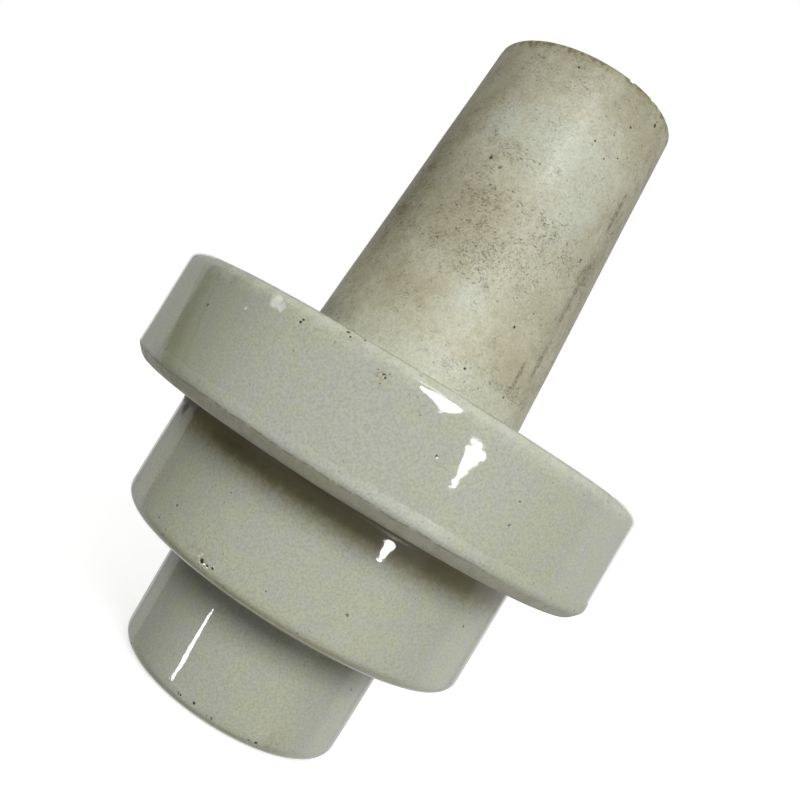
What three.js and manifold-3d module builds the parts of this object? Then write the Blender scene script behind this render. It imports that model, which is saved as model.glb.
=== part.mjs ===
// A turned porcelain stand-off insulator for an electric fence.
//
// Three glazed tiers that widen in steps (nose, shoulder, flange) carry the wire, and a tapered
// stem on the flange's other side goes into the post. Each end has a blind socket. In it a steel
// bush of hexagon bar stands on a cork cushion, held by cement that keys into grooves in the bush
// and in the socket, and a ring of sealing compound closes the mouth.
//
// Millimetres, +Z along the stem, origin at the centre of the nose's end face.

import * as THREE from "three";
import { mergeVertices } from "three/addons/utils/BufferGeometryUtils.js";
import Module from "manifold-3d";

// ---- Driving dimensions: the porcelain outline ----

const NOSE_RADIUS = 23.3;
const NOSE_HEIGHT = 23.6;
const NOSE_FLARE = 0.6; // the nose is this much wider where it meets the shoulder

const SHOULDER_RADIUS = 36.9;
const SHOULDER_HEIGHT = 23.7;
const SHOULDER_FLARE = 0.3;

const FLANGE_RADIUS = 50;
const FLANGE_HEIGHT = 22.2;

const STEM_ROOT_RADIUS = 23.3;
const STEM_END_RADIUS = 19.2;
const STEM_HEIGHT = 68.3;

const NOSE_ROUNDING = 2.2;
const SHOULDER_ROUNDING = 2.3;
const FLANGE_NOSE_SIDE_ROUNDING = 3.6;
const FLANGE_STEM_SIDE_ROUNDING = 1.9;
const STEM_END_ROUNDING = 0.9;
const INNER_CORNER_ROUNDING = 1.5;

// ---- Driving dimensions: the socket and its fittings, the same at both ends ----

const SOCKET_RADIUS = 12.5;
const SOCKET_MOUTH_ROUNDING = 1;
const SOCKET_GROOVES = { count: 2, width: 4, depth: 1 };
const BUSH_GROOVES = { count: 2, width: 4, depth: -1 };
const GROOVE_SLOPE = 0.6; // how far each flank of a groove leans along the wall
const GROOVED_FROM = 4; // the grooves share the wall below this depth

const BUSH_INSET = 0.4; // the bush's face lies this far below the mouth
const SEAL_INSET = 0.8;
const SEAL_THICKNESS = 2.4;
const CUSHION_THICKNESS = 3.4;
const CORNER_TURNING = 0.5; // the bar's corners are turned down by this much
const BUSH_CHAMFER = 0.6;
const DRILL_POINT_SLOPE = Math.tan(THREE.MathUtils.degToRad(31)); // a 118 degree drill
const GAP = 0.3; // clearance between neighbours

// ---- Driving dimensions: what differs between the two ends ----

const WIRE_END = { socketDepth: 34, hexAcrossFlats: 17, holeRadius: 4.25, holeDepth: 20 };
const POST_END = { socketDepth: 42, hexAcrossFlats: 19, holeRadius: 5.1, holeDepth: 28 };

// ---- Facets ----

const BODY_SIDES = 52;
const FITTING_SIDES = 36;
const ARC_STEPS = 4;

const SHOULDER_Z = NOSE_HEIGHT;
const FLANGE_Z = SHOULDER_Z + SHOULDER_HEIGHT;
const STEM_Z = FLANGE_Z + FLANGE_HEIGHT;
const BODY_HEIGHT = STEM_Z + STEM_HEIGHT;

const wasm = await Module();
wasm.setup();

// ---- Materials ----

const porcelain = { color: 0xc9cbba, roughness: 0.2, metalness: 0 };
const plated = { color: 0x9a9c9b, roughness: 0.4, metalness: 1 };
const cement = { color: 0x9c978b, roughness: 0.95, metalness: 0 };
const cork = { color: 0xa87b4f, roughness: 0.9, metalness: 0 };
const compound = { color: 0x2a2826, roughness: 0.55, metalness: 0 };

function named(name, geometry, finish) {
  const mesh = new THREE.Mesh(geometry, new THREE.MeshStandardMaterial(finish));
  mesh.name = name;
  return mesh;
}

// ---- Outlines ----

// The points of an outline given as corners [radius, height, rounding]; a corner's rounding is an
// arc that touches both of its sides, and 0 or nothing leaves the corner sharp.
function rounded(corners) {
  return corners.flatMap(([r, z, rounding = 0], i) => {
    const corner = new THREE.Vector2(r, z);
    if (rounding === 0) {
      return [corner];
    }
    const [back, ahead] = [corners[i - 1], corners[i + 1]].map(([nr, nz]) =>
      new THREE.Vector2(nr, nz).sub(corner).normalize(),
    );
    const half = Math.acos(back.dot(ahead)) / 2;
    const turn = Math.sign(back.cross(ahead)) * (2 * half - Math.PI);
    const centre = back.clone().add(ahead).setLength(rounding / Math.sin(half)).add(corner);
    const start = back.clone().setLength(rounding / Math.tan(half)).add(corner);
    return Array.from({ length: ARC_STEPS + 1 }, (_, step) =>
      start.clone().rotateAround(centre, (turn * step) / ARC_STEPS),
    );
  });
}

// Corners along a round wall from one height to another, with evenly spaced grooves; a negative
// depth cuts towards the axis. The clearance moves the wall out and narrows the grooves.
function groovedWall(radius, from, to, grooves, clearance = 0) {
  const wall = radius + clearance;
  const floor = wall + grooves.depth;
  const pitch = (to - from) / (grooves.count + 1);
  const towards = Math.sign(pitch);
  const halfWidth = (grooves.width / 2 + Math.sign(grooves.depth) * clearance) * towards;
  const halfFloor = halfWidth - GROOVE_SLOPE * towards;
  return Array.from({ length: grooves.count }, (_, i) => from + pitch * (i + 1)).flatMap((z) => [
    [wall, z - halfWidth],
    [floor, z - halfFloor],
    [floor, z + halfFloor],
    [wall, z + halfWidth],
  ]);
}

// A solid of revolution about +Z.
function turned(points, sides) {
  return new THREE.LatheGeometry(points, sides).rotateX(Math.PI / 2);
}

// ---- Joining and cutting ----

function toSolid(geometry) {
  const bare = new THREE.BufferGeometry();
  bare.setAttribute("position", geometry.getAttribute("position"));
  bare.setIndex(geometry.index);
  const merged = mergeVertices(bare);
  return new wasm.Manifold(
    new wasm.Mesh({
      numProp: 3,
      vertProperties: merged.getAttribute("position").array,
      triVerts: new Uint32Array(merged.index.array),
    }),
  );
}

function toGeometry(solid) {
  const { vertProperties, triVerts } = solid.getMesh();
  const geometry = new THREE.BufferGeometry();
  geometry.setAttribute("position", new THREE.BufferAttribute(vertProperties, 3));
  geometry.setIndex(new THREE.BufferAttribute(triVerts, 1));
  geometry.computeVertexNormals();
  return geometry;
}

// ---- Porcelain body ----

// The socket's wall, from its mouth down to its floor, in depth below the mouth.
function socketCorners(end) {
  return [
    [SOCKET_RADIUS, 0, SOCKET_MOUTH_ROUNDING],
    ...groovedWall(SOCKET_RADIUS, GROOVED_FROM, end.socketDepth, SOCKET_GROOVES),
    [SOCKET_RADIUS, end.socketDepth],
    [0, end.socketDepth],
  ];
}

function outerCorners() {
  return [
    [NOSE_RADIUS, 0, NOSE_ROUNDING],
    [NOSE_RADIUS + NOSE_FLARE, SHOULDER_Z, INNER_CORNER_ROUNDING],
    [SHOULDER_RADIUS, SHOULDER_Z, SHOULDER_ROUNDING],
    [SHOULDER_RADIUS + SHOULDER_FLARE, FLANGE_Z, INNER_CORNER_ROUNDING],
    [FLANGE_RADIUS, FLANGE_Z, FLANGE_NOSE_SIDE_ROUNDING],
    [FLANGE_RADIUS, STEM_Z, FLANGE_STEM_SIDE_ROUNDING],
    [STEM_ROOT_RADIUS, STEM_Z, INNER_CORNER_ROUNDING],
    [STEM_END_RADIUS, BODY_HEIGHT, STEM_END_ROUNDING],
  ];
}

function porcelainBody() {
  const wireSocket = socketCorners(WIRE_END).reverse();
  const postSocket = socketCorners(POST_END).map(([r, depth, ...rest]) => [
    r,
    BODY_HEIGHT - depth,
    ...rest,
  ]);
  const outline = rounded([...wireSocket, ...outerCorners(), ...postSocket]);
  return named("porcelain_body", turned(outline, BODY_SIDES), porcelain);
}

// ---- Fittings of one end, with the mouth at z = 0 and the socket's depth along +Z ----

function hexagonBar(acrossFlats, length) {
  const cornerRadius = acrossFlats / 2 / Math.cos(Math.PI / 6);
  const corners = Array.from({ length: 6 }, (_, i) =>
    new THREE.Vector2(cornerRadius, 0).rotateAround(new THREE.Vector2(), (i * Math.PI) / 3),
  );
  return new THREE.ExtrudeGeometry(new THREE.Shape(corners), {
    depth: length,
    bevelEnabled: false,
  });
}

// The depth that the bush reaches: it stands on the cushion, which lies on the socket's floor.
function bushBottom(end) {
  return end.socketDepth - CUSHION_THICKNESS - 2 * GAP;
}

// The grooved hexagon bar before it is drilled, grown on every side by the clearance.
function bushBlank(end, clearance = 0) {
  const bottom = bushBottom(end);
  const flat = end.hexAcrossFlats / 2;
  const cornerRadius = flat / Math.cos(Math.PI / 6) - CORNER_TURNING;
  const grooves = { ...BUSH_GROOVES, depth: flat - cornerRadius + BUSH_GROOVES.depth };
  const outline = [
    [0, BUSH_INSET - clearance],
    [cornerRadius + clearance - BUSH_CHAMFER, BUSH_INSET - clearance],
    [cornerRadius + clearance, BUSH_INSET - clearance + BUSH_CHAMFER],
    ...groovedWall(cornerRadius, GROOVED_FROM, bottom, grooves, clearance),
    [cornerRadius + clearance, bottom + clearance],
    [0, bottom + clearance],
  ];
  const round = toSolid(turned(rounded(outline), FITTING_SIDES));
  const bar = toSolid(hexagonBar(end.hexAcrossFlats + 2 * clearance, end.socketDepth));
  return round.intersect(bar);
}

// The tapping hole at the thread's minor diameter, with a countersunk mouth and a drill point.
function tappingHole({ holeRadius, holeDepth }) {
  const countersink = holeRadius + 2 * BUSH_CHAMFER;
  const outline = [
    [0, 0],
    [countersink, 0],
    [countersink, BUSH_INSET],
    [holeRadius, BUSH_INSET + 2 * BUSH_CHAMFER],
    [holeRadius, holeDepth],
    [0, holeDepth + holeRadius * DRILL_POINT_SLOPE],
  ];
  return toSolid(turned(rounded(outline), FITTING_SIDES));
}

function bush(name, end) {
  const drilled = bushBlank(end).subtract(tappingHole(end));
  return named(name, toGeometry(drilled), plated);
}

// Cement from below the seal to the bush's bottom, keyed into the socket's grooves.
function cementFill(name, end) {
  const top = SEAL_INSET + SEAL_THICKNESS + GAP;
  const bottom = bushBottom(end);
  const outline = [
    [0, top],
    [SOCKET_RADIUS - GAP, top],
    ...groovedWall(SOCKET_RADIUS, GROOVED_FROM, end.socketDepth, SOCKET_GROOVES, -GAP),
    [SOCKET_RADIUS - GAP, bottom],
    [0, bottom],
  ];
  const fill = toSolid(turned(rounded(outline), FITTING_SIDES));
  return named(name, toGeometry(fill.subtract(bushBlank(end, GAP))), cement);
}

// A plain disc that fills the socket between two depths.
function disc(top, bottom) {
  const radius = SOCKET_RADIUS - GAP;
  const outline = [
    [0, top],
    [radius, top],
    [radius, bottom],
    [0, bottom],
  ];
  return turned(rounded(outline), FITTING_SIDES);
}

function seal(name, end) {
  const ring = toSolid(disc(SEAL_INSET, SEAL_INSET + SEAL_THICKNESS));
  return named(name, toGeometry(ring.subtract(bushBlank(end, GAP))), compound);
}

function cushion(name, end) {
  const bottom = end.socketDepth - GAP;
  return named(name, disc(bottom - CUSHION_THICKNESS, bottom), cork);
}

function fittings(prefix, end) {
  const group = new THREE.Group();
  group.add(
    bush(`${prefix}_bush`, end),
    cementFill(`${prefix}_cement`, end),
    cushion(`${prefix}_cushion`, end),
    seal(`${prefix}_seal`, end),
  );
  return group;
}

// ---- Assembly ----

const insulator = new THREE.Group();

const postFittings = fittings("post", POST_END);
postFittings.rotation.x = Math.PI;
postFittings.position.z = BODY_HEIGHT;

insulator.add(porcelainBody(), fittings("wire", WIRE_END), postFittings);

export default insulator;
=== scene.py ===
"""Looks for a turned porcelain stand-off insulator for an electric fence.

One porcelain body with three glazed tiers (nose, shoulder, flange) and a bare tapered stem, a
threaded steel bush in a socket at each end, and a ring of sealing compound round each bush. The
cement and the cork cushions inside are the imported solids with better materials.

Metres, +Z along the stem, origin at the centre of the nose's end face. The constants are in
millimetres and degrees. An angle round the body is 0 towards -Y and grows towards +X.
"""

import math
import random

import bmesh
import bpy
import numpy as np
from mathutils import Matrix, Vector, noise


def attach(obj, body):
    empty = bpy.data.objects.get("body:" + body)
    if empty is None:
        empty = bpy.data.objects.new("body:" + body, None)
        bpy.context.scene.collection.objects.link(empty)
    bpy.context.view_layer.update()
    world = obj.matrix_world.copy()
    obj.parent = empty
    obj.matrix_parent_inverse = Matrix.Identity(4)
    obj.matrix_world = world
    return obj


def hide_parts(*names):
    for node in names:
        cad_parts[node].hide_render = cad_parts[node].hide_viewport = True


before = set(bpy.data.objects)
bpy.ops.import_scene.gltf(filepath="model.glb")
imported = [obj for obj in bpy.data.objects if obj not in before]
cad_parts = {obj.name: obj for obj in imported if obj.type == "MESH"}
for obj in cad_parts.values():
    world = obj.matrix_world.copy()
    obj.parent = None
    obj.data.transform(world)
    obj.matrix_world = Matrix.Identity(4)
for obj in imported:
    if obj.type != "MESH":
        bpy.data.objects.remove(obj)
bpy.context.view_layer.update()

MM = 0.001

# ---- The porcelain outline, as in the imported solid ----

NOSE_RADIUS = 23.3
NOSE_HEIGHT = 23.6
NOSE_FLARE = 0.6
SHOULDER_RADIUS = 36.9
SHOULDER_HEIGHT = 23.7
SHOULDER_FLARE = 0.3
FLANGE_RADIUS = 50
FLANGE_HEIGHT = 22.2
STEM_ROOT_RADIUS = 23.3
STEM_END_RADIUS = 19.2
STEM_HEIGHT = 68.3

NOSE_ROUNDING = 2.2
SHOULDER_ROUNDING = 2.3
FLANGE_BEVEL_WIDTH = 2.1
FLANGE_BEVEL_HEIGHT = 2.3
FLANGE_BEVEL_ROUNDINGS = (2.4, 2.0)
FLANGE_STEM_SIDE_ROUNDING = 1.9
STEM_END_ROUNDING = 0.9
INNER_CORNER_ROUNDING = 1.5

FLANGE_Z = NOSE_HEIGHT + SHOULDER_HEIGHT
STEM_Z = FLANGE_Z + FLANGE_HEIGHT
BODY_HEIGHT = STEM_Z + STEM_HEIGHT

# ---- The sockets and fittings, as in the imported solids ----

SOCKET_RADIUS = 12.5
SOCKET_MOUTH_ROUNDING = 1
GROOVE_COUNT = 2
GROOVE_WIDTH = 4
GROOVE_DEPTH = 1
GROOVE_SLOPE = 0.6
GROOVED_FROM = 4
BUSH_INSET = 0.4
SEAL_INSET = 0.8
SEAL_THICKNESS = 2.4
CUSHION_THICKNESS = 3.4
CORNER_TURNING = 0.5
BUSH_CHAMFER = 0.6
DRILL_POINT_SLOPE = math.tan(math.radians(31))
GAP = 0.3

# Each end: the socket's depth, and the bush's width across flats, thread and depth of hole.
WIRE_END = {"socket": 34, "flats": 17, "minor": 4.25, "major": 5, "pitch": 1.5, "deep": 20}
POST_END = {"socket": 42, "flats": 19, "minor": 5.1, "major": 6, "pitch": 1.75, "deep": 28}

# ---- How finely the surfaces are divided ----

BODY_SIDES = 192
BODY_ROW = 1.35
SOCKET_ROW = 8
ARC_STEP = 15
PIT_CUTS = 2
PIT_REACHES = (1.2, 0.5)
THREAD_SIDES = 60
ROWS_PER_PITCH = 12
SEAL_SIDES = 144
SEAL_ROWS = 13
SHARP_ANGLE = math.radians(38)

# ---- How uneven the surfaces are: sizes and heights of waves and lumps ----

BROAD_WAVE_SIZE = 31
BROAD_WAVE_HEIGHT = 0.09
MEDIUM_WAVE_SIZE = 11
MEDIUM_WAVE_HEIGHT = 0.035
WAVES_END = 3
FLAW_RAGGEDNESS = 0.35
FLAW_LUMP_SHARE = 1.7
FLAW_WALL = 2.2
SEAL_CREEP = 0.3
SEAL_CREEP_POWER = 5
SEAL_LUMP_SIZE = 2.3
SEAL_LUMP_HEIGHT = 0.12
SEAL_OVERLAP = 0.1

# The share of a thread's pitch that its crest takes, and that each flank takes.
THREAD_CREST = 0.25
THREAD_FLANK = 0.3125

# ---- Flaws with real depth, some of them painted white as glints: angle round the body, height, radius, depth ----

PITS = [
    (-21.9, 67.1, 0.25, 0.35),
    (-22.2, 66.6, 0.22, 0.3),
    (-13.8, 69.0, 0.32, 0.3),
    (-12.9, 68.5, 0.2, 0.2),
    (-10.5, 69.2, 0.26, 0.25),
    (-4.6, 66.2, 0.24, 0.2),
    (-4.1, 65.9, 0.18, 0.15),
    (-3.8, 66.7, 0.13, 0.1),
    (-5.4, 65.5, 0.12, 0.1),
    (-4.3, 64.8, 0.11, 0.1),
    (-5.9, 66.4, 0.12, 0.1),
    (9.8, 60.2, 0.2, 0.2),
    (27.8, 57, 0.2, 0.2),
    (27.2, 60.8, 0.18, 0.15),
    (-22.2, 26.0, 0.42, 0.45),
    (-20.2, 25.9, 0.22, 0.2),
    (-18.6, 26.1, 0.26, 0.2),
    (-38.3, 30.3, 0.25, 0.2),
    (-41.9, 26.6, 0.2, 0.2),
    (-16.6, 1.9, 0.3, 0.25),
    (-15.2, 1.9, 0.22, 0.2),
    (-8.3, 2.2, 0.3, 0.3),
    (20, 1.5, 0.26, 0.25),
    (23.5, 1.6, 0.3, 0.3),
    (45.5, 104.6, 0.42, 0.25),
    (46.9, 134.6, 0.45, 0.25),
    (16.8, 123.9, 0.22, 0.15),
    (26.2, 122.3, 0.22, 0.15),
    (33.8, 124.2, 0.22, 0.15),
    (31.3, 130.4, 0.3, 0.2),
    (-11.1, 134.4, 0.3, 0.2),
    (17.2, 75.7, 0.25, 0.2),
    (43, 75.3, 0.25, 0.15),
    (-25.6, 111.7, 0.4, 0.2),
    (28.5, 86.9, 0.3, 0.2),
]
# Chips are painted pale; the two small ones on the shoulder at -22.9 and -23.4 degrees and the dot at
# -34 degrees on the flange are painted glints.
CHIPS_AND_GLINTS = [
    (-28.6, 67.6, 1.3, 0.13),
    (-27.0, 67.3, 0.9, 0.11),
    (-34, 64.3, 0.35, 0.08),
    (-22.9, 26.9, 0.32, 0.1),
    (-23.4, 26.4, 0.3, 0.1),
    (118, 49.1, 2.0, 0.5),
    (-152, 69.0, 1.6, 0.4),
    (170, 24.8, 1.4, 0.3),
]
STEM_RIM_CHIPS = 14
STRAY_PITS = 30

# ---- Outlines ----


def arc(corner, back, ahead, rounding):
    """Points of the arc that rounds a corner off and touches both of its sides."""
    half = back.angle(ahead) / 2
    turn = math.copysign(math.pi - 2 * half, ahead.x * back.y - ahead.y * back.x)
    centre = corner + (back + ahead).normalized() * (rounding / math.sin(half))
    spoke = corner + back * (rounding / math.tan(half)) - centre
    steps = max(2, math.ceil(math.degrees(abs(turn)) / ARC_STEP))
    return [centre + Matrix.Rotation(turn * i / steps, 2) @ spoke for i in range(steps + 1)]


def rounded(corners):
    """Points of an outline given as corners (radius, height, rounding)."""
    points = []
    for i, (radius, height, *rounding) in enumerate(corners):
        corner = Vector((radius, height))
        if not rounding:
            points.append(corner)
            continue
        back, ahead = (Vector(corners[j][:2]) - corner for j in (i - 1, i + 1))
        points += arc(corner, back.normalized(), ahead.normalized(), rounding[0])
    return points


def filled(points, row):
    """The same outline with more points along its straight runs, at most a row apart."""
    result = [points[0]]
    for start, end in zip(points, points[1:]):
        count = max(1, math.ceil((end - start).length / row))
        result += [start.lerp(end, step / count) for step in range(1, count + 1)]
    return result


def grooved_wall(radius, start, end, depth):
    """Corners along a wall from one height to another, with evenly spaced grooves."""
    pitch = (end - start) / (GROOVE_COUNT + 1)
    corners = []
    for z in (start + pitch * (i + 1) for i in range(GROOVE_COUNT)):
        half = GROOVE_WIDTH / 2
        corners += [
            (radius, z - half),
            (radius + depth, z - half + GROOVE_SLOPE),
            (radius + depth, z + half - GROOVE_SLOPE),
            (radius, z + half),
        ]
    return corners


def socket_corners(end):
    """The socket's wall from its mouth to its floor, in depth below the mouth."""
    return [
        (SOCKET_RADIUS, 0, SOCKET_MOUTH_ROUNDING),
        *grooved_wall(SOCKET_RADIUS, GROOVED_FROM, end["socket"], GROOVE_DEPTH),
        (SOCKET_RADIUS, end["socket"]),
        (0, end["socket"]),
    ]


def outer_corners():
    return [
        (NOSE_RADIUS, 0, NOSE_ROUNDING),
        (NOSE_RADIUS + NOSE_FLARE, NOSE_HEIGHT, INNER_CORNER_ROUNDING),
        (SHOULDER_RADIUS, NOSE_HEIGHT, SHOULDER_ROUNDING),
        (SHOULDER_RADIUS + SHOULDER_FLARE, FLANGE_Z, INNER_CORNER_ROUNDING),
        (FLANGE_RADIUS - FLANGE_BEVEL_WIDTH, FLANGE_Z, FLANGE_BEVEL_ROUNDINGS[0]),
        (FLANGE_RADIUS, FLANGE_Z + FLANGE_BEVEL_HEIGHT, FLANGE_BEVEL_ROUNDINGS[1]),
        (FLANGE_RADIUS, STEM_Z, FLANGE_STEM_SIDE_ROUNDING),
        (STEM_ROOT_RADIUS, STEM_Z, INNER_CORNER_ROUNDING),
        (STEM_END_RADIUS, BODY_HEIGHT, STEM_END_ROUNDING),
    ]


def body_outline():
    """From the wire socket's floor, round the outside, to the post socket's floor."""
    wire = socket_corners(WIRE_END)[::-1]
    post = [(r, BODY_HEIGHT - depth, *more) for r, depth, *more in socket_corners(POST_END)]
    points = rounded([*wire, *outer_corners(), *post])
    outside = [i for i, p in enumerate(points) if p.x > SOCKET_RADIUS + GROOVE_DEPTH + 1e-3]
    first, last = outside[0], outside[-1] + 1
    return (
        filled(points[:first], SOCKET_ROW)[:-1]
        + filled(points[first - 1 : last + 1], BODY_ROW)
        + filled(points[last:], SOCKET_ROW)[1:]
    )


# ---- Meshes ----


def ring_faces(rows, sides, closed=False):
    """Quads between neighbouring rings of vertices."""
    return [
        (a * sides + i, a * sides + (i + 1) % sides, b * sides + (i + 1) % sides, b * sides + i)
        for a, b in ((row, (row + 1) % rows) for row in range(rows if closed else rows - 1))
        for i in range(sides)
    ]


def ring(radii, z, sides):
    """One ring of points; the radius and the height may vary round it."""
    angles = np.arange(sides) * 2 * math.pi / sides
    heights = np.broadcast_to(z, sides)
    return np.column_stack((radii * np.sin(angles), -radii * np.cos(angles), heights))


def turned(rings, sides):
    """Points and faces of a closed body of rings, with a fan at each end to a point on the axis."""
    top = (len(rings) - 1) * sides
    first = top + sides
    ends = [[0, 0, float(np.mean(r[:, 2]))] for r in (rings[0], rings[-1])]
    faces = ring_faces(len(rings), sides)
    faces += [(first, (i + 1) % sides, i) for i in range(sides)]
    faces += [(first + 1, top + i, top + (i + 1) % sides) for i in range(sides)]
    return np.vstack([*rings, ends]), faces


def to_bmesh(points, faces):
    mesh = bpy.data.meshes.new("rough")
    mesh.from_pydata(points.tolist(), [], faces)
    made = bmesh.new()
    made.from_mesh(mesh)
    bpy.data.meshes.remove(mesh)
    bmesh.ops.remove_doubles(made, verts=made.verts, dist=1e-4)
    bmesh.ops.dissolve_degenerate(made, edges=made.edges, dist=1e-5)
    bmesh.ops.recalc_face_normals(made, faces=made.faces)
    return made


def piece(name, shape, material, replaced):
    """Makes an object from a bmesh in millimetres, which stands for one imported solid."""
    mesh = bpy.data.meshes.new(name)
    bmesh.ops.scale(shape, vec=(MM, MM, MM), verts=shape.verts)
    shape.to_mesh(mesh)
    shape.free()
    mesh.shade_smooth()
    mesh.set_sharp_from_angle(angle=SHARP_ANGLE)
    mesh.materials.append(material)
    made = bpy.data.objects.new(name, mesh)
    bpy.context.scene.collection.objects.link(made)
    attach(made, "root")
    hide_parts(replaced)


# ---- Porcelain body ----


def outside_radius(outline, z):
    """The body's outer radius at a height."""
    crossings = [
        a.x + (b.x - a.x) * (z - a.y) / (b.y - a.y)
        for a, b in zip(outline, outline[1:])
        if min(a.y, b.y) <= z <= max(a.y, b.y) and a.y != b.y
    ]
    return max(crossings)


def on_body(outline, angle, z):
    radius = outside_radius(outline, z)
    turn = math.radians(angle)
    return Vector((radius * math.sin(turn), -radius * math.cos(turn), z))


def stray_flaws(outline):
    """Flaws scattered round the sides and the back, most of them near the tiers' rims."""
    draw = random.Random(7)
    rims = (1.2, NOSE_HEIGHT + 1.5, NOSE_HEIGHT + 4, FLANGE_Z + 2.5, STEM_Z - 1.8, STEM_Z - 5)
    pits = [
        (draw.uniform(50, 310), draw.choice(rims) + draw.uniform(-0.5, 0.9), size, size * 0.7)
        for size in (draw.uniform(0.18, 0.4) for _ in range(STRAY_PITS))
    ]
    chips = [
        (draw.uniform(0, 360), BODY_HEIGHT - draw.uniform(0.1, 0.5), size, size * 0.28)
        for size in (draw.uniform(0.5, 1.3) for _ in range(STEM_RIM_CHIPS))
    ]
    return pits, chips


def refine(shape, flaws):
    """Divides the faces round each flaw finely enough to hold its shape."""
    for reach in PIT_REACHES:
        near = set()
        for centre, radius, _ in flaws:
            limit = radius + reach
            near.update(
                face for face in shape.faces if (face.calc_center_median() - centre).length < limit
            )
        edges = {edge for face in near for edge in face.edges}
        bmesh.ops.subdivide_edges(
            shape, edges=list(edges), cuts=PIT_CUTS, use_grid_fill=True, use_only_quads=False
        )


def relief(place):
    """How far the fired surface stands proud of the turned outline at a place."""
    broad = noise.noise(place / BROAD_WAVE_SIZE)
    medium = noise.noise(place / MEDIUM_WAVE_SIZE + Vector((9, 4, 2)))
    return BROAD_WAVE_HEIGHT * broad + MEDIUM_WAVE_HEIGHT * medium


def flaw_depth(offset, radius, depth):
    """A flaw's depth at an offset from its middle, with a ragged edge."""
    place = offset / radius * FLAW_LUMP_SHARE + Vector((3, 1, 7)) * radius
    ragged = radius * (1 + FLAW_RAGGEDNESS * noise.noise(place))
    inside = 1 - offset.length / ragged
    return depth * min(1, FLAW_WALL * inside) if inside > 0 else 0


def porcelain(material):
    outline = body_outline()
    rings = [ring(p.x, p.y, BODY_SIDES) for p in outline[1:-1]]
    shape = to_bmesh(*turned(rings, BODY_SIDES))
    pits, rim_chips = stray_flaws(outline)
    pit_places = [(on_body(outline, a, z), r, d) for a, z, r, d in PITS + pits]
    chip_and_glint_places = [(on_body(outline, a, z), r, d) for a, z, r, d in CHIPS_AND_GLINTS + rim_chips]
    refine(shape, pit_places + chip_and_glint_places)
    shape.normal_update()
    # The second layer marks chips and the dents painted white as glints.
    dark = shape.verts.layers.float.new("pit")
    bare = shape.verts.layers.float.new("chip_and_glint")
    for vert in shape.verts:
        place, normal = vert.co.copy(), vert.normal.copy()
        if place.xy.length < SOCKET_RADIUS + GROOVE_DEPTH + 0.3:
            continue
        ends = min(place.z, BODY_HEIGHT - place.z)
        move = relief(place) * min(1, ends / WAVES_END)
        for flaws, layer in ((pit_places, dark), (chip_and_glint_places, bare)):
            for centre, radius, depth in flaws:
                offset = place - centre
                if offset.length < 1.5 * radius:
                    cut = flaw_depth(offset, radius, depth)
                    move -= cut
                    vert[layer] = max(vert[layer], cut / depth)
        vert.co = place + normal * move
    shape.normal_update()
    piece("porcelain_casting", shape, material, "porcelain_body")


# ---- Fittings of one end, with the mouth at z = 0 and the socket's depth along +Z ----


def hexagon_radius(flats, sides):
    """The distance from the axis to a hexagon's sides, with a flat towards -Y."""
    angles = np.degrees(np.arange(sides) * 2 * math.pi / sides)
    return flats / 2 / np.cos(np.radians((angles + 30) % 60 - 30))


def bush_bottom(end):
    return end["socket"] - CUSHION_THICKNESS - 2 * GAP


def thread_profile(phase):
    """How deep a metric internal thread is at a phase of its pitch, from 0 to 1."""
    rise = np.clip((phase - THREAD_CREST) / THREAD_FLANK, 0, 1)
    fall = np.clip((1 - phase) / THREAD_FLANK, 0, 1)
    return np.minimum(rise, fall)


def threaded_hole(end):
    """Rings down the threaded wall, from the countersink to the drill point."""
    sides, pitch = THREAD_SIDES, end["pitch"]
    top = BUSH_INSET + 2 * BUSH_CHAMFER
    turns = np.arange(sides) / sides
    rings = []
    for z in np.arange(top, end["deep"], pitch / ROWS_PER_PITCH):
        depth = thread_profile((z / pitch - turns) % 1)
        fade = min(1, (z - top) / (0.5 * pitch), (end["deep"] - z) / (3 * pitch))
        rings.append(ring(end["minor"] + (end["major"] - end["minor"]) * depth * fade, z, sides))
    rings.append(ring(end["minor"], end["deep"], sides))
    rings.append(ring(0.02, end["deep"] + end["minor"] * DRILL_POINT_SLOPE, sides))
    return rings


def bush(name, end, replaced, material, placed):
    """Hexagon bar with turned corners, grooves for the cement, and a threaded blind hole."""
    sides, bottom = THREAD_SIDES, bush_bottom(end)
    flat = end["flats"] / 2
    corner = flat / math.cos(math.pi / 6) - CORNER_TURNING
    hexagon = hexagon_radius(end["flats"], sides)
    wall = [
        (corner, bottom),
        *grooved_wall(corner, GROOVED_FROM, bottom, flat - corner - 1)[::-1],
        (corner, BUSH_INSET + BUSH_CHAMFER),
        (corner - BUSH_CHAMFER, BUSH_INSET),
        (end["minor"] + 2.4 * BUSH_CHAMFER, BUSH_INSET),
        (end["minor"] + 2 * BUSH_CHAMFER, BUSH_INSET + 0.2 * BUSH_CHAMFER),
    ]
    rings = [ring(0.02, bottom, sides)]
    rings += [ring(np.minimum(hexagon, r), z, sides) for r, z in wall]
    shape = to_bmesh(*turned(rings + threaded_hole(end), sides))
    shape.transform(placed)
    piece(name, shape, material, replaced)


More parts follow.
